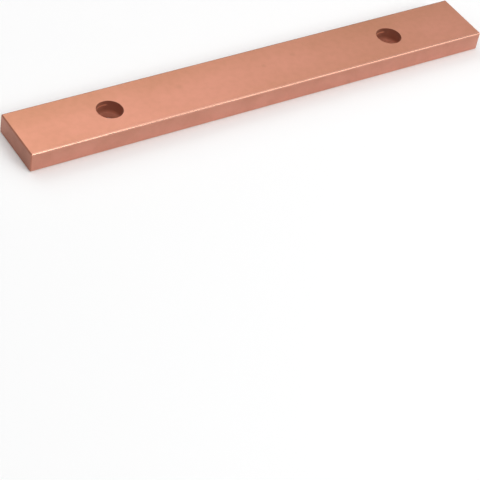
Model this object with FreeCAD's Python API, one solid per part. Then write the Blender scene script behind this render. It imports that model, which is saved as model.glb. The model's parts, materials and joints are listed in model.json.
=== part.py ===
"""Copper busbar: one flat bar of rounded rectangular section, cut square, with two bolt holes.

The origin is at the middle of the underside. X runs along the bar, Y across it and Z up.
Every size is in millimetres.
"""

import FreeCAD
import Part

import os
from math import sqrt

# Drawn bar stock
BAR_LENGTH = 250.0
BAR_WIDTH = 30.0
BAR_THICKNESS = 10.0
CORNER_RADIUS = 0.8  # of the four long edges, as drawn

# Sawn ends
END_EDGE_BREAK = 0.5  # 45 degree chamfer round each end face

# Bolt holes, drilled square through the wide faces on the bar's centre line
HOLE_COUNT = 2
HOLE_SPACING = 156.5  # centre to centre
HOLE_DIAMETER = 12.5
HOLE_EDGE_BREAK = 0.1  # 45 degree chamfer at both mouths of each hole

CUT_OVERRUN = 1.0  # how far a cutter runs past the faces that it opens

X_AXIS = FreeCAD.Vector(1, 0, 0)
Z_AXIS = FreeCAD.Vector(0, 0, 1)


def section_wire(x):
    """The bar's cross-section at x: four straight sides joined by the drawn corner arcs."""
    half_width = BAR_WIDTH / 2
    side = half_width - CORNER_RADIUS
    low = CORNER_RADIUS
    high = BAR_THICKNESS - CORNER_RADIUS
    bulge = CORNER_RADIUS / sqrt(2)  # from an arc's centre to its middle, along Y and along Z

    def at(y, z):
        return FreeCAD.Vector(x, y, z)

    edges = [
        Part.LineSegment(at(-side, 0), at(side, 0)),
        Part.Arc(at(side, 0), at(side + bulge, low - bulge), at(half_width, low)),
        Part.LineSegment(at(half_width, low), at(half_width, high)),
        Part.Arc(at(half_width, high), at(side + bulge, high + bulge), at(side, BAR_THICKNESS)),
        Part.LineSegment(at(side, BAR_THICKNESS), at(-side, BAR_THICKNESS)),
        Part.Arc(at(-side, BAR_THICKNESS), at(-side - bulge, high + bulge), at(-half_width, high)),
        Part.LineSegment(at(-half_width, high), at(-half_width, low)),
        Part.Arc(at(-half_width, low), at(-side - bulge, low - bulge), at(-side, 0)),
    ]
    return Part.Wire([edge.toShape() for edge in edges])


def sawn_bar():
    """The bar cut to length, with the edges of both end faces broken."""
    half_length = BAR_LENGTH / 2
    bar = Part.Face(section_wire(-half_length)).extrude(X_AXIS * BAR_LENGTH)
    end_faces = [face for face in bar.Faces if abs(abs(face.CenterOfMass.x) - half_length) < 1e-6]
    end_edges = [edge for face in end_faces for edge in face.Edges]
    return bar.makeChamfer(END_EDGE_BREAK, end_edges)


def hole_cutter(x):
    """What a drill and a deburring tool take out at x: a straight bore that flares at both mouths."""
    bore = HOLE_DIAMETER / 2
    flare = bore + HOLE_EDGE_BREAK + CUT_OVERRUN  # the 45 degree cones run on past the faces
    outline = [
        (0, -CUT_OVERRUN),
        (flare, -CUT_OVERRUN),
        (bore, HOLE_EDGE_BREAK),
        (bore, BAR_THICKNESS - HOLE_EDGE_BREAK),
        (flare, BAR_THICKNESS + CUT_OVERRUN),
        (0, BAR_THICKNESS + CUT_OVERRUN),
    ]
    points = [FreeCAD.Vector(x + radius, 0, z) for radius, z in outline]
    profile = Part.Face(Part.makePolygon(points + points[:1]))
    return profile.revolve(FreeCAD.Vector(x, 0, 0), Z_AXIS, 360)


def hole_places():
    """The X of each hole, spaced evenly about the middle of the bar."""
    first = -HOLE_SPACING * (HOLE_COUNT - 1) / 2
    return [first + HOLE_SPACING * i for i in range(HOLE_COUNT)]


def busbar():
    """The finished bar: sawn to length, its edges broken, and drilled."""
    return sawn_bar().cut([hole_cutter(x) for x in hole_places()])


def main():
    os.makedirs("parts", exist_ok=True)
    shape = busbar()
    shape.exportStep("parts/busbar.step")
    print(f"busbar: {len(shape.Solids)} solid, {shape.Volume:.1f} mm3, valid {shape.isValid()}")


main()
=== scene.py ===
"""Looks of the copper busbar: a drawn bar with sawn ends and two drilled bolt holes.

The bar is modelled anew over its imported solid, at the same size and place, so that its rounded edges,
broken ends and hole mouths are fine enough for a close look. Lengths are in metres.
"""

import json
import logging
from dataclasses import dataclass
from enum import Enum
from math import pi, radians, tan

import bmesh
import bpy
from mathutils import Matrix, Quaternion, Vector


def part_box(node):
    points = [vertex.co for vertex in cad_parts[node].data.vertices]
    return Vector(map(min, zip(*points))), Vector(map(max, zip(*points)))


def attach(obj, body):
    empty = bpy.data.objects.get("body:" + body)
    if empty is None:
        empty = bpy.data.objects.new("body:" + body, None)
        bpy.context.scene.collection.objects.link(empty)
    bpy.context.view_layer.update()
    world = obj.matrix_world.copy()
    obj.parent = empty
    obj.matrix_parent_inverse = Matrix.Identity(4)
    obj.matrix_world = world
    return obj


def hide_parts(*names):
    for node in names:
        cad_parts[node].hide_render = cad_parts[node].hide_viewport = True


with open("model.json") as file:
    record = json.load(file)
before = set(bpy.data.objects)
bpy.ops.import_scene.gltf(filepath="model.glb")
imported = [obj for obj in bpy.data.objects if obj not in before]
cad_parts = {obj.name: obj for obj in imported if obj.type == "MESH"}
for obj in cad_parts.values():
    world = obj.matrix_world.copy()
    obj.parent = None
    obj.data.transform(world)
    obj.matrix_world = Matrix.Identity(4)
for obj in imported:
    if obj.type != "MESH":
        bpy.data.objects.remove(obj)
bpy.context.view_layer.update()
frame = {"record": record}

MM = 0.001
BOLT_HOLES = next(mount["dims"] for mount in frame["record"]["mounts"] if mount["name"] == "bolt_holes")
HOLE_SPACING = BOLT_HOLES["spacing_x_mm"] * MM
HOLE_RADIUS = BOLT_HOLES["hole_r_mm"] * MM

Colour = tuple[float, float, float]
Triple = tuple[float, float, float]
Socket = bpy.types.NodeSocket

log = logging.getLogger("busbar")


class Surface(Enum):
    """The bar's six kinds of surface; the value is the material's place on the mesh."""

    DRAWN = 0
    SIDE = 1
    ROUNDED = 2
    SAWN = 3
    DRILLED = 4
    BROKEN = 5


class Lay(Enum):
    """Which way a tool's marks run; the value is how fast they change along X, Y and Z."""

    LENGTHWISE = (0.004, 1.0, 1.0)
    ACROSS = (1.0, 0.03, 1.0)
    ROUND = (0.02, 0.02, 1.0)
    NONE = (0.5, 0.5, 0.5)


class Axis(Enum):
    """Which way the painted shade changes over the bar; the value is the name of that coordinate."""

    ACROSS = "Y"
    UP = "Z"


class Nodes:
    """Adds nodes to one node tree and links them."""

    # Places of the Mix node's sockets, which share their names
    NUMBERS = (2, 3)
    MIXED_NUMBER = 0
    COLOURS = (6, 7)
    MIXED_COLOUR = 2

    def __init__(self, tree: bpy.types.NodeTree) -> None:
        """Keeps the tree that the nodes go into."""
        self.tree = tree

    def add(self, kind: str, **settings: object) -> bpy.types.Node:
        """Adds one node.

        Args:
            kind: the node's type name, without its leading ShaderNode.
            settings: properties to set on the node.

        Returns:
            The new node.
        """
        node = self.tree.nodes.new("ShaderNode" + kind)
        for name, value in settings.items():
            setattr(node, name, value)
        return node

    def feed(self, target: Socket, value: object) -> None:
        """Links a socket to the target, or sets a plain value on it."""
        if isinstance(value, bpy.types.NodeSocket):
            self.tree.links.new(value, target)
        else:
            target.default_value = value

    def math(self, operation: str, first: object, second: object = 0.0) -> Socket:
        """Works out one sum on two values."""
        node = self.add("Math", operation=operation)
        self.feed(node.inputs[0], first)
        self.feed(node.inputs[1], second)
        return node.outputs[0]

    def vector_math(self, operation: str, first: object, second: object) -> Socket:
        """Works out one sum on two vectors."""
        node = self.add("VectorMath", operation=operation)
        self.feed(node.inputs[0], first)
        self.feed(node.inputs[1], second)
        return node.outputs[0]

    def split(self, vector: Socket) -> bpy.types.bpy_prop_collection:
        """Takes a vector apart into sockets for X, Y and Z."""
        node = self.add("SeparateXYZ")
        self.feed(node.inputs["Vector"], vector)
        return node.outputs

    def noise(self, vector: Socket, scale: object, detail: float) -> Socket:
        """Adds a noise texture.

        Args:
            vector: where on the surface to look it up.
            scale: how many features there are to a metre.
            detail: how many finer layers it has.

        Returns:
            The noise, about 0.5.
        """
        node = self.add("TexNoise")
        self.feed(node.inputs["Vector"], vector)
        self.feed(node.inputs["Scale"], scale)
        node.inputs["Detail"].default_value = detail
        return node.outputs["Fac"]

    def fit(self, value: Socket, low: object, high: object, smooth: bool = True) -> Socket:
        """Maps a value from low to high onto 0 to 1, and stops there."""
        kind = "SMOOTHSTEP" if smooth else "LINEAR"
        node = self.add("MapRange", interpolation_type=kind, clamp=True)
        self.feed(node.inputs["Value"], value)
        self.feed(node.inputs["From Min"], low)
        self.feed(node.inputs["From Max"], high)
        return node.outputs["Result"]

    def blend(self, share: Socket, first: object, second: object) -> Socket:
        """Mixes two colours by a share."""
        node = self.add("Mix", data_type="RGBA")
        self.feed(node.inputs["Factor"], share)
        for socket, value in zip(self.COLOURS, (first, second)):
            opaque = value if isinstance(value, bpy.types.NodeSocket) else (*value, 1.0)
            self.feed(node.inputs[socket], opaque)
        return node.outputs[self.MIXED_COLOUR]

    def between(self, share: Socket, first: float, second: float) -> Socket:
        """Mixes two numbers by a share."""
        node = self.add("Mix", data_type="FLOAT")
        self.feed(node.inputs["Factor"], share)
        for socket, value in zip(self.NUMBERS, (first, second)):
            self.feed(node.inputs[socket], value)
        return node.outputs[self.MIXED_NUMBER]


class Effect:
    """A shader node group that several finishes share."""

    def __init__(self, name: str, inputs: dict[str, str], outputs: tuple[str, ...]) -> None:
        """Makes the group and its sockets.

        Args:
            name: the group's name.
            inputs: each input's name and the end of its socket type.
            outputs: the names of the outputs, which are all numbers.
        """
        self.tree = bpy.data.node_groups.new(name, "ShaderNodeTree")
        for socket, kind in inputs.items():
            self.tree.interface.new_socket(socket, in_out="INPUT", socket_type="NodeSocket" + kind)
        for socket in outputs:
            self.tree.interface.new_socket(socket, in_out="OUTPUT", socket_type="NodeSocketFloat")
        self.nodes = Nodes(self.tree)
        self.source = self.tree.nodes.new("NodeGroupInput").outputs
        self.result = self.tree.nodes.new("NodeGroupOutput").inputs

    def place(self, nodes: Nodes, **values: object) -> bpy.types.Node:
        """Puts the group into a material.

        Args:
            nodes: the material's nodes.
            values: what goes into each input.

        Returns:
            The group's node there.
        """
        node = nodes.add("Group", node_tree=self.tree)
        for name, value in values.items():
            nodes.feed(node.inputs[name], value)
        return node


class ToolMarks(Effect):
    """Fine lines that a die, saw or drill leaves, along the lay that it is given."""

    GROUP = 4.5  # how many fine lines make up a coarse one
    FINE_SHARE = 0.6
    FINE_LAYERS = 3.0
    COARSE_LAYERS = 1.0

    def __init__(self) -> None:
        """Layers coarse and fine lines."""
        inputs = {"Vector": "Vector", "Lay": "Vector", "Pitch": "Float"}
        super().__init__("tool_marks", inputs, ("Height",))
        nodes = self.nodes
        laid = nodes.vector_math("MULTIPLY", self.source["Vector"], self.source["Lay"])
        rate = nodes.math("DIVIDE", 1.0, self.source["Pitch"])
        fine = nodes.noise(laid, rate, self.FINE_LAYERS)
        coarse = nodes.noise(laid, nodes.math("DIVIDE", rate, self.GROUP), self.COARSE_LAYERS)
        height = nodes.math("ADD", nodes.math("MULTIPLY", fine, self.FINE_SHARE), coarse)
        nodes.feed(self.result["Height"], height)


class Tarnish(Effect):
    """How far the bare metal has dulled, in soft clouds with a fine bloom."""

    BLOOM_RATE = 14.0  # spots of bloom across one cloud
    BLOOM_SHARE = 0.25
    CLOUD_LAYERS = 3.0
    BLOOM_LAYERS = 4.0
    # Which stretch of the noise goes from clean to dull
    CLOUD_STRETCH = (0.30, 0.72)
    BLOOM_STRETCH = (0.35, 0.70)

    def __init__(self) -> None:
        """Layers wide clouds and the bloom."""
        super().__init__("tarnish", {"Vector": "Vector", "Patch": "Float"}, ("Dullness",))
        nodes = self.nodes
        place = self.source["Vector"]
        rate = nodes.math("DIVIDE", 1.0, self.source["Patch"])
        fine_rate = nodes.math("MULTIPLY", rate, self.BLOOM_RATE)
        cloud = nodes.fit(nodes.noise(place, rate, self.CLOUD_LAYERS), *self.CLOUD_STRETCH)
        bloom = nodes.fit(nodes.noise(place, fine_rate, self.BLOOM_LAYERS), *self.BLOOM_STRETCH)
        wide = nodes.math("MULTIPLY", cloud, 1.0 - self.BLOOM_SHARE)
        spots = nodes.math("MULTIPLY", bloom, self.BLOOM_SHARE)
        nodes.feed(self.result["Dullness"], nodes.math("ADD", wide, spots))


class Specks(Effect):
    """Round marks with soft edges, scattered one to a cell over about half of the cells."""

    BARE_CELLS = 0.55
    EDGE_SHARE = 0.9  # how much of a mark's radius is its soft edge
    SLANT = 0.8  # how far the marks are laid over with height, so that upright faces get them too

    def __init__(self) -> None:
        """Draws a disc of random size round the point of each cell."""
        inputs = {"Vector": "Vector", "Spacing": "Float", "Largest": "Float"}
        super().__init__("specks", inputs, ("Mark",))
        nodes = self.nodes
        place = nodes.split(self.source["Vector"])
        slant = nodes.math("MULTIPLY", place["Z"], self.SLANT)
        laid = nodes.add("CombineXYZ")
        for axis in ("X", "Y"):
            nodes.feed(laid.inputs[axis], nodes.math("ADD", place[axis], slant))
        cells = nodes.add("TexVoronoi", feature="F1", voronoi_dimensions="2D")
        nodes.feed(cells.inputs["Vector"], laid.outputs["Vector"])
        nodes.feed(cells.inputs["Scale"], nodes.math("DIVIDE", 1.0, self.source["Spacing"]))
        chance = nodes.add("SeparateColor")
        nodes.feed(chance.inputs[0], cells.outputs["Color"])
        growth = nodes.fit(chance.outputs[0], self.BARE_CELLS, 1.0)
        radius = nodes.math("MULTIPLY", growth, self.source["Largest"])
        away = nodes.math("MULTIPLY", cells.outputs["Distance"], self.source["Spacing"])
        inside = nodes.math("SUBTRACT", radius, away)
        edge = nodes.math("MULTIPLY", radius, self.EDGE_SHARE)
        nodes.feed(self.result["Mark"], nodes.fit(inside, 0.0, edge))


@dataclass(frozen=True)
class CopperFinish:
    """Bare copper as one tool left it, plus painted shade and light that change with place where a finish
    has them.

    Attributes:
        name: the material's name.
        bright: colour of clean metal, and where painted light brightens it.
        dull: colour where it has tarnished, and where painted shade darkens it.
        roughness: from clean metal to the tarnish.
        lay: which way the tool's marks run.
        pitch: distance between marks.
        depth: how deep the marks are.
        patch: width of a tarnished cloud.
        painted_shade_span: places from which and to which the colour goes from bright to dull as painted
            shade, if it does.
        painted_shade_axis: which way it does so.
        painted_shade_share: how much of the dullness then follows the painted shade, and not the clouds.
        pits: distance between small pits.
        largest_pit: radius of the largest of them.
        stains: distance between faint stains.
        largest_stain: radius of the largest of them.
    """

    name: str
    bright: Colour
    dull: Colour
    roughness: tuple[float, float]
    lay: Lay
    pitch: float
    depth: float
    patch: float = 45 * MM
    painted_shade_span: tuple[float, float] | None = None
    painted_shade_axis: Axis = Axis.UP
    painted_shade_share: float = 0.8
    pits: float = 22 * MM
    largest_pit: float = 0.2 * MM
    stains: float = 16 * MM
    largest_stain: float = 2.4 * MM

    # Shades of the finish's middle colour
    PIT_SHADE = 0.65
    STAIN_SHADE = 0.98

    def material(self, marks: ToolMarks, tarnish: Tarnish, specks: Specks) -> bpy.types.Material:
        """Builds the material.

        Args:
            marks: the shared effect for the tool's lines.
            tarnish: the shared effect for dull clouds.
            specks: the shared effect for pits and stains.

        Returns:
            The finished material.
        """
        material = bpy.data.materials.new(self.name)
        material.use_nodes = True
        nodes = Nodes(material.node_tree)
        shader = material.node_tree.nodes["Principled BSDF"]
        place = nodes.add("TexCoord").outputs["Object"]
        lines = marks.place(nodes, Vector=place, Lay=self.lay.value, Pitch=self.pitch)
        pit = specks.place(nodes, Vector=place, Spacing=self.pits, Largest=self.largest_pit)
        stain = specks.place(nodes, Vector=place, Spacing=self.stains, Largest=self.largest_stain)
        clouds = tarnish.place(nodes, Vector=place, Patch=self.patch)
        # Painted shade: the tarnish is pulled towards bright or dull by place, standing in for how light
        # falls
        dullness = self._add_painted_shade(nodes, place, clouds.outputs["Dullness"])
        middle = (Vector(self.bright) + Vector(self.dull)) / 2
        colour = nodes.blend(dullness, self.bright, self.dull)
        colour = nodes.blend(stain.outputs["Mark"], colour, self.STAIN_SHADE * middle)
        colour = nodes.blend(pit.outputs["Mark"], colour, self.PIT_SHADE * middle)
        # A hole's wall gets its painted highlight here; other faces keep their colour
        nodes.feed(shader.inputs["Base Color"], self._painted_highlight(nodes, place, colour))
        nodes.feed(shader.inputs["Roughness"], nodes.between(dullness, *self.roughness))
        shader.inputs["Metallic"].default_value = 1.0
        bump = nodes.add("Bump")
        bump.inputs["Distance"].default_value = self.depth
        height = nodes.math("SUBTRACT", lines.outputs["Height"], pit.outputs["Mark"])
        nodes.feed(bump.inputs["Height"], height)
        nodes.feed(shader.inputs["Normal"], bump.outputs["Normal"])
        return material

    def _add_painted_shade(self, nodes: Nodes, place: Socket, dullness: Socket) -> Socket:
        """Adds painted shade: the colour goes from bright to dull up or across the bar, standing in for
        how light falls on it.

        Args:
            nodes: the material's nodes.
            place: where on the bar a point is.
            dullness: the tarnish without the painted shade.

        Returns:
            The tarnish with the painted shade.
        """
        if self.painted_shade_span is None:
            return dullness
        faded = nodes.fit(nodes.split(place)[self.painted_shade_axis.value], *self.painted_shade_span)
        return nodes.between(self.painted_shade_share, dullness, faded)

    def _painted_highlight(self, nodes: Nodes, place: Socket, colour: Socket) -> Socket:
        """Leaves the colour as it is, because only a hole's wall gets a painted highlight."""
        return colour


@dataclass(frozen=True, kw_only=True)
class DrilledFinish(CopperFinish):
    """The wall of a drilled hole, with a painted highlight on its -X side and a painted glint in a ring
    below the mouth there.

    Attributes:
        axes_apart: distance between the axes of the two holes.
        highlight_colour: colour of the painted highlight and glint.
        wall_highlight: how far along X from the hole's axis the painted highlight on the wall starts, and
            is full.
        ring_glint: the same for the painted glint in the ring.
        ring_height: height of the ring.
        ring_reach: how far it reaches up and down.
    """

    axes_apart: float
    highlight_colour: Colour = (0.880, 0.430, 0.280)
    wall_highlight: tuple[float, float] = (2.0 * MM, -3.0 * MM)
    ring_glint: tuple[float, float] = (2.6 * MM, 1.0 * MM)
    ring_height: float = 7.6 * MM
    ring_reach: float = 0.8 * MM

    WALL_HIGHLIGHT_SHARE = 0.30  # how strong the painted highlight is on the wall outside the ring

    def _painted_highlight(self, nodes: Nodes, place: Socket, colour: Socket) -> Socket:
        """Paints a highlight on one side of the wall and a glint in a ring below the mouth.

        Args:
            nodes: the material's nodes.
            place: where on the bar a point is.
            colour: the wall's colour without the painted highlight.

        Returns:
            The colour with it.
        """
        # Painted highlight on the -X side of each hole's wall, and a painted glint in a ring there,
        # standing in for light from the lamps on the right
        point = nodes.split(place)
        axis = nodes.math("MULTIPLY", nodes.math("SIGN", point["X"]), self.axes_apart / 2)
        along = nodes.math("SUBTRACT", point["X"], axis)
        wall = nodes.math("MULTIPLY", nodes.fit(along, *self.wall_highlight), self.WALL_HIGHLIGHT_SHARE)
        away = nodes.math("ABSOLUTE", nodes.math("SUBTRACT", point["Z"], self.ring_height))
        band = nodes.fit(away, self.ring_reach, 0.0)
        ring = nodes.math("MULTIPLY", nodes.fit(along, *self.ring_glint), band)
        share = nodes.math("MAXIMUM", wall, ring)
        return nodes.blend(share, colour, self.highlight_colour)


@dataclass
class Busbar:
    """The bar itself, one piece of copper.

    Attributes:
        low: the bar's lowest corner.
        high: the bar's highest corner.
        hole_spacing: distance between the bolt holes.
        hole_radius: radius of a bolt hole.
        corner_radius: rounding of the four long edges.
        end_break: how far the edges of the sawn ends are filed off, at 45 degrees.
        mouth_break: how far the edges of the hole mouths are taken off, at 45 degrees.
        collar: half the width of the square of faces round a hole.
        collar_cells: faces along one side of that square.
        corner_steps: faces across the rounding of a long edge.
        crease: the angle between faces, in degrees, from which their edge stays sharp.
    """

    low: Vector
    high: Vector
    hole_spacing: float
    hole_radius: float
    corner_radius: float = 0.8 * MM
    end_break: float = 0.5 * MM
    mouth_break: float = 0.1 * MM
    collar: float = 9.0 * MM
    collar_cells: int = 24
    corner_steps: int = 8
    crease: float = 30.0

    NEAR = 0.001 * MM
    QUARTER_TURN = 90.0  # what one side of a collar spans round the hole's axis
    FACING = 0.5  # how much of its normal a face has along an axis that it faces
    CORNER_TURN = 1.0  # in radians, less than the plate turns at its corners

    @property
    def hole_places(self) -> tuple[float, float]:
        """Where the hole axes stand along X."""
        return (-self.hole_spacing / 2, self.hole_spacing / 2)

    def build(self) -> bpy.types.Object:
        """Models the bar.

        Returns:
            The bar's object, with its place in its mesh.
        """
        bar = bmesh.new()
        self._lay_plate(bar)
        self._open_holes(bar)
        self._thicken(bar)
        self._round_long_edges(bar)
        self._break_ends(bar)
        self._break_mouths(bar)
        for face in bar.faces:
            face.smooth = True
        for edge in bar.edges:
            edge.smooth = edge.calc_face_angle(0.0) < radians(self.crease)
        mesh = bpy.data.meshes.new("copper_bar")
        bar.to_mesh(mesh)
        bar.free()
        piece = bpy.data.objects.new("copper_bar", mesh)
        bpy.context.scene.collection.objects.link(piece)
        shading = piece.modifiers.new("flat faces stay flat", "WEIGHTED_NORMAL")
        shading.keep_sharp = True
        return piece

    def _lay_plate(self, bar: bmesh.types.BMesh) -> None:
        """Lays the bar's outline flat and scores it into squares round the holes."""
        size = self.high - self.low
        centre = (self.high + self.low) / 2
        stretch = Matrix.Diagonal((size.x / 2, size.y / 2, 1.0, 1.0))
        plan = Matrix.Translation((centre.x, centre.y, self.low.z)) @ stretch
        bmesh.ops.create_grid(bar, x_segments=1, y_segments=1, size=1.0, matrix=plan)
        for cell in range(self.collar_cells + 1):
            turn = self.QUARTER_TURN * cell / self.collar_cells - self.QUARTER_TURN / 2
            step = self.collar * tan(radians(turn))
            self._score(bar, Vector((0.0, step, self.low.z)), Vector((0.0, 1.0, 0.0)))
            for x in self.hole_places:
                self._score(bar, Vector((x + step, 0.0, self.low.z)), Vector((1.0, 0.0, 0.0)))

    @staticmethod
    def _score(bar: bmesh.types.BMesh, point: Vector, across: Vector) -> None:
        """Cuts every face along one plane and keeps both sides."""
        everything = [*bar.verts, *bar.edges, *bar.faces]
        bmesh.ops.bisect_plane(bar, geom=everything, dist=Busbar.NEAR, plane_co=point, plane_no=across)

    def _open_holes(self, bar: bmesh.types.BMesh) -> None:
        """Swaps each square round a hole for a collar with a round opening."""
        for x in self.hole_places:
            centre = Vector((x, 0.0, self.low.z))
            inside = [face for face in bar.faces if self._in_collar(face.calc_center_median() - centre)]
            bmesh.ops.delete(bar, geom=inside, context="FACES")
            rim = [edge for edge in bar.edges if edge.is_boundary and self._on_collar(edge, centre)]
            drawn_in = bmesh.ops.extrude_edge_only(bar, edges=rim)["geom"]
            for vert in (item for item in drawn_in if isinstance(item, bmesh.types.BMVert)):
                vert.co = centre + (vert.co - centre).normalized() * self.hole_radius

    def _in_collar(self, offset: Vector, room: float = 0.0) -> bool:
        """Whether a point this far from a hole's axis is in the square round it, widened by the room."""
        return max(abs(offset.x), abs(offset.y)) < self.collar + room

    def _on_collar(self, edge: bmesh.types.BMEdge, centre: Vector) -> bool:
        """Whether an edge lies on the outline of the square round a hole."""
        return all(self._in_collar(vert.co - centre, self.NEAR) for vert in edge.verts)

    def _thicken(self, bar: bmesh.types.BMesh) -> None:
        """Raises the plate to the bar's thickness and closes its sides."""
        raised = bmesh.ops.extrude_face_region(bar, geom=list(bar.faces))
        top = [item for item in raised["geom"] if isinstance(item, bmesh.types.BMVert)]
        bmesh.ops.translate(bar, verts=top, vec=(0.0, 0.0, self.high.z - self.low.z))
        bmesh.ops.recalc_face_normals(bar, faces=list(bar.faces))
        for face in bar.faces:
            face.material_index = self._surface_of(face).value

    def _surface_of(self, face: bmesh.types.BMFace) -> Surface:
        """Tells which tool made a face, before any edge is broken."""
        centre = face.calc_center_median()
        if abs(face.normal.z) > self.FACING:
            return Surface.DRAWN
        if any(self._in_collar(centre - Vector((x, 0.0, 0.0))) for x in self.hole_places):
            return Surface.DRILLED
        return Surface.SAWN if abs(face.normal.x) > self.FACING else Surface.SIDE

    def _round_long_edges(self, bar: bmesh.types.BMesh) -> None:
        """Rounds the four edges that the drawing die leaves."""
        sides = (self.low.y, self.high.y)
        long_edges = [
            edge
            for edge in bar.edges
            if edge.calc_face_angle(0.0) > self.CORNER_TURN
            and any(all(abs(vert.co.y - side) < self.NEAR for vert in edge.verts) for side in sides)
            and abs(edge.verts[0].co.z - edge.verts[1].co.z) < self.NEAR
        ]
        self._bevel(bar, long_edges, self.corner_radius, self.corner_steps, Surface.ROUNDED)

    def _break_ends(self, bar: bmesh.types.BMesh) -> None:
        """Breaks the edges round both sawn ends."""
        outline = [edge for edge in bar.edges if self._meets(edge, Surface.SAWN)]
        self._bevel(bar, outline, self.end_break, 1, Surface.BROKEN)

    def _break_mouths(self, bar: bmesh.types.BMesh) -> None:
        """Breaks the edges round both mouths of each hole."""
        mouths = [edge for edge in bar.edges if self._meets(edge, Surface.DRILLED)]
        self._bevel(bar, mouths, self.mouth_break, 1, Surface.BROKEN)

    @staticmethod
    def _meets(edge: bmesh.types.BMEdge, surface: Surface) -> bool:
        """Whether an edge has this surface on one side and another on the other."""
        kinds = [face.material_index for face in edge.link_faces]
        return kinds.count(surface.value) == 1

    @staticmethod
    def _bevel(
        bar: bmesh.types.BMesh, edges: list[bmesh.types.BMEdge], reach: float, steps: int, surface: Surface
    ) -> None:
        """Rounds edges and marks the new faces.

        Args:
            bar: the bar's mesh.
            edges: the edges to round.
            reach: radius of the rounding.
            steps: faces across it.
            surface: what the new faces are.
        """
        made = bmesh.ops.bevel(
            bar,
            geom=edges,
            offset=reach,
            offset_type="OFFSET",
            segments=steps,
            profile=0.5,
            affect="EDGES",
            material=-1,
            clamp_overlap=False,
        )
        for face in made["faces"]:
            face.material_index = surface.value

    def dress(self, piece: bpy.types.Object) -> None:
        """Gives each surface its finish.

        Args:
            piece: the bar's object.
        """
        effects = (ToolMarks(), Tarnish(), Specks())
        for surface in Surface:
            piece.data.materials.append(FINISHES[surface].material(*effects))


FINISHES = {
    # Drawn copper; part of its colour is painted shade that darkens it towards the back (+Y) of the bar
    Surface.DRAWN: CopperFinish(
        "drawn_copper",
        bright=(0.797, 0.361, 0.254),
        dull=(0.629, 0.297, 0.182),
        roughness=(0.44, 0.50),
        lay=Lay.LENGTHWISE,
        pitch=0.25 * MM,
        depth=0.004 * MM,
        painted_shade_span=(-2.0 * MM, 14.0 * MM),
        painted_shade_axis=Axis.ACROSS,
        painted_shade_share=0.4,
    ),
    # A darker copy of the drawn copper: painted shade on the narrow sides, darker still towards the top
    Surface.SIDE: CopperFinish(
        "drawn_copper_side_painted_shade",
        bright=(0.715, 0.339, 0.258),
        dull=(0.555, 0.255, 0.179),
        roughness=(0.40, 0.48),
        lay=Lay.LENGTHWISE,
        pitch=0.25 * MM,
        depth=0.006 * MM,
        patch=9 * MM,
        painted_shade_span=(1.0 * MM, 10.0 * MM),
        painted_shade_share=0.55,
    ),
    # Painted highlight: a paler, less saturated copper along the rounded long edges; the low roughness is
    # a real burnish
    Surface.ROUNDED: CopperFinish(
        "burnished_edge_painted_highlight",
        bright=(0.760, 0.404, 0.298),
        dull=(0.720, 0.377, 0.275),
        roughness=(0.20, 0.25),
        lay=Lay.LENGTHWISE,
        pitch=0.25 * MM,
        depth=0.001 * MM,
    ),
    # Partly the sawn face's own darker tone, partly painted shade for an end turned from the lamps;
    # painted lighter towards the back (+Y)
    Surface.SAWN: CopperFinish(
        "sawn_copper_and_painted_shade",
        bright=(0.525, 0.245, 0.175),
        dull=(0.370, 0.170, 0.121),
        roughness=(0.44, 0.52),
        lay=Lay.ACROSS,
        pitch=0.30 * MM,
        depth=0.012 * MM,
        patch=12 * MM,
        painted_shade_span=(14.0 * MM, 4.0 * MM),
        painted_shade_axis=Axis.ACROSS,
        painted_shade_share=0.4,
    ),
    # Painted light low in the hole's wall and painted shade higher up, standing in for what the wall
    # reflects; a painted highlight on its -X side
    Surface.DRILLED: DrilledFinish(
        "drilled_copper_and_painted_light",
        bright=(0.640, 0.285, 0.200),
        dull=(0.420, 0.180, 0.118),
        roughness=(0.20, 0.75),
        lay=Lay.ROUND,
        pitch=0.35 * MM,
        depth=0.015 * MM,
        painted_shade_span=(2.6 * MM, 5.4 * MM),
        axes_apart=HOLE_SPACING,
    ),
    Surface.BROKEN: CopperFinish(
        "filed_copper_edge",
        bright=(0.490, 0.205, 0.140),
        dull=(0.430, 0.180, 0.122),
        roughness=(0.42, 0.50),
        lay=Lay.NONE,
        pitch=0.60 * MM,
        depth=0.006 * MM,
    ),
}


@dataclass(frozen=True)
class SoftBox:
    """A square lamp with an even face, aimed at the bar.

    Attributes:
        name: the lamp's name.
        azimuth: where it stands round the bar, in degrees from +X towards +Y.
        elevation: how far it stands above the floor, in degrees.
        width: width of its face.
        radiance: how bright its face is, where 1 is white.
        distance: how far its face is from the bar's middle.
    """

    name: str
    azimuth: float
    elevation: float
    width: float
    radiance: float
    distance: float = 1.2

    def build(self) -> None:
        """Hangs the lamp and turns its face to the bar."""
        rise = Matrix.Rotation(radians(-self.elevation), 3, "Y")
        toward = Matrix.Rotation(radians(self.azimuth), 3, "Z") @ rise @ Vector((1.0, 0.0, 0.0))
        lamp = bpy.data.lights.new(self.name, "AREA")
        lamp.shape = "SQUARE"
        lamp.size = self.width
        lamp.energy = self.radiance * pi * self.width**2
        box = bpy.data.objects.new(self.name, lamp)
        box.location = toward * self.distance
        box.rotation_euler = toward.to_track_quat("Z", "Y").to_euler()
        bpy.context.scene.collection.objects.link(box)


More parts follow.
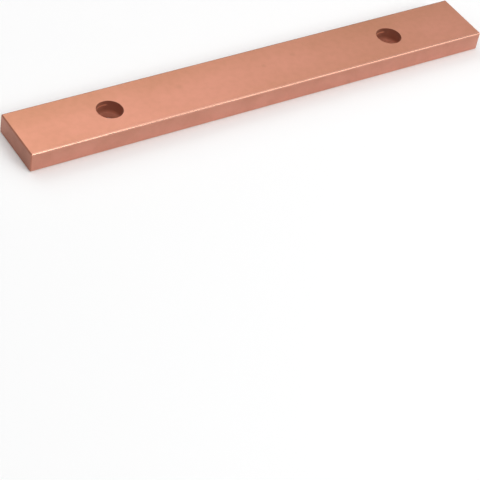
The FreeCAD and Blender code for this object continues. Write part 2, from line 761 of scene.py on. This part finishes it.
@dataclass(frozen=True)
class Studio:
    """A pale floor under soft boxes and a dim dome.

    Attributes:
        floor_half: half the floor's width.
        floor_colour: the floor's colour.
        boxes: the soft boxes.
        dome_overhead: the dome's brightness overhead, from which it fades to nothing at the horizon.
    """

    floor_half: float = 4.0
    floor_colour: Colour = (0.96, 0.96, 0.96)
    boxes: tuple[SoftBox, ...] = (
        SoftBox("front_box", azimuth=284, elevation=36, width=0.35, radiance=8.7),
        SoftBox("right_box", azimuth=310, elevation=28, width=0.5, radiance=2.7),
        SoftBox("back_box", azimuth=96, elevation=40, width=0.8, radiance=1.6),
        SoftBox("far_box", azimuth=50, elevation=50, width=0.8, radiance=0.66),
        SoftBox("top_box", azimuth=300, elevation=80, width=1.32, radiance=0.6),
        SoftBox("left_box", azimuth=205, elevation=28, width=1.0, radiance=0.5),
        SoftBox("rear_box", azimuth=155, elevation=28, width=1.0, radiance=0.5),
        SoftBox("end_box", azimuth=355, elevation=28, width=0.8, radiance=0.5),
    )
    dome_overhead: float = 0.55

    def build(self) -> None:
        """Sets up the floor, the soft boxes and the dome."""
        self._floor()
        for box in self.boxes:
            box.build()
        self._dome()
        bpy.context.scene.view_settings.view_transform = "Standard"

    def _floor(self) -> None:
        """Lays the floor that the bar rests on."""
        sheet = bmesh.new()
        bmesh.ops.create_grid(sheet, x_segments=1, y_segments=1, size=self.floor_half)
        mesh = bpy.data.meshes.new("floor")
        sheet.to_mesh(mesh)
        sheet.free()
        floor = bpy.data.objects.new("floor", mesh)
        bpy.context.scene.collection.objects.link(floor)
        material = bpy.data.materials.new("pale_floor")
        material.use_nodes = True
        shader = material.node_tree.nodes["Principled BSDF"]
        shader.inputs["Base Color"].default_value = (*self.floor_colour, 1.0)
        shader.inputs["Roughness"].default_value = 1.0
        shader.inputs["Specular IOR Level"].default_value = 0.0
        mesh.materials.append(material)

    def _dome(self) -> None:
        """Makes the dome, which brightens from the horizon to overhead."""
        world = bpy.data.worlds.new("dome")
        bpy.context.scene.world = world
        world.use_nodes = True
        nodes = Nodes(world.node_tree)
        direction = nodes.split(nodes.add("TexCoord").outputs["Generated"])
        height = nodes.fit(direction["Z"], 0.0, 1.0, smooth=False)
        background = world.node_tree.nodes["Background"]
        background.inputs["Color"].default_value = (1.0, 1.0, 1.0, 1.0)
        nodes.feed(background.inputs["Strength"], nodes.between(height, 0.0, self.dome_overhead))


@dataclass(frozen=True)
class Viewpoint:
    """The camera, where the photograph was taken from.

    Attributes:
        place: where the camera stands.
        aim: where the middle of its view meets the floor.
        roll: how far it leans, in degrees.
        focal_pixels: focal length in pixels of the picture.
        picture_width: width of the picture in pixels.
    """

    place: Triple = (-405.26 * MM, -507.66 * MM, 494.40 * MM)
    aim: Triple = (-61.44 * MM, -88.14 * MM, 0.0)
    roll: float = 11.27
    focal_pixels: float = 1712.1
    picture_width: float = 480.0

    def build(self) -> None:
        """Sets up the camera and makes it the scene's own."""
        lens = bpy.data.cameras.new("camera")
        lens.lens = lens.sensor_width * self.focal_pixels / self.picture_width
        camera = bpy.data.objects.new("camera", lens)
        camera.location = self.place
        back = Vector(self.place) - Vector(self.aim)
        turn = back.to_track_quat("Z", "Y") @ Quaternion((0.0, 0.0, 1.0), radians(self.roll))
        camera.rotation_mode = "QUATERNION"
        camera.rotation_quaternion = turn
        bpy.context.scene.collection.objects.link(camera)
        bpy.context.scene.camera = camera


def packed_busbar() -> Busbar:
    """Takes the bar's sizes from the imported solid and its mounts.

    Returns:
        The bar, ready to build.
    """
    low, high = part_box("busbar")
    return Busbar(low, high, HOLE_SPACING, HOLE_RADIUS)


def main() -> None:
    """Builds the camera, the bar and the studio, and logs the bar's face count."""
    logging.basicConfig(level=logging.INFO, format="%(name)s: %(message)s")
    Viewpoint().build()
    bar = packed_busbar()
    piece = bar.build()
    bar.dress(piece)
    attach(piece, "root")
    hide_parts("busbar")
    log.info("%s has %d faces", piece.name, len(piece.data.polygons))
    Studio().build()


if __name__ == "__main__":
    main()
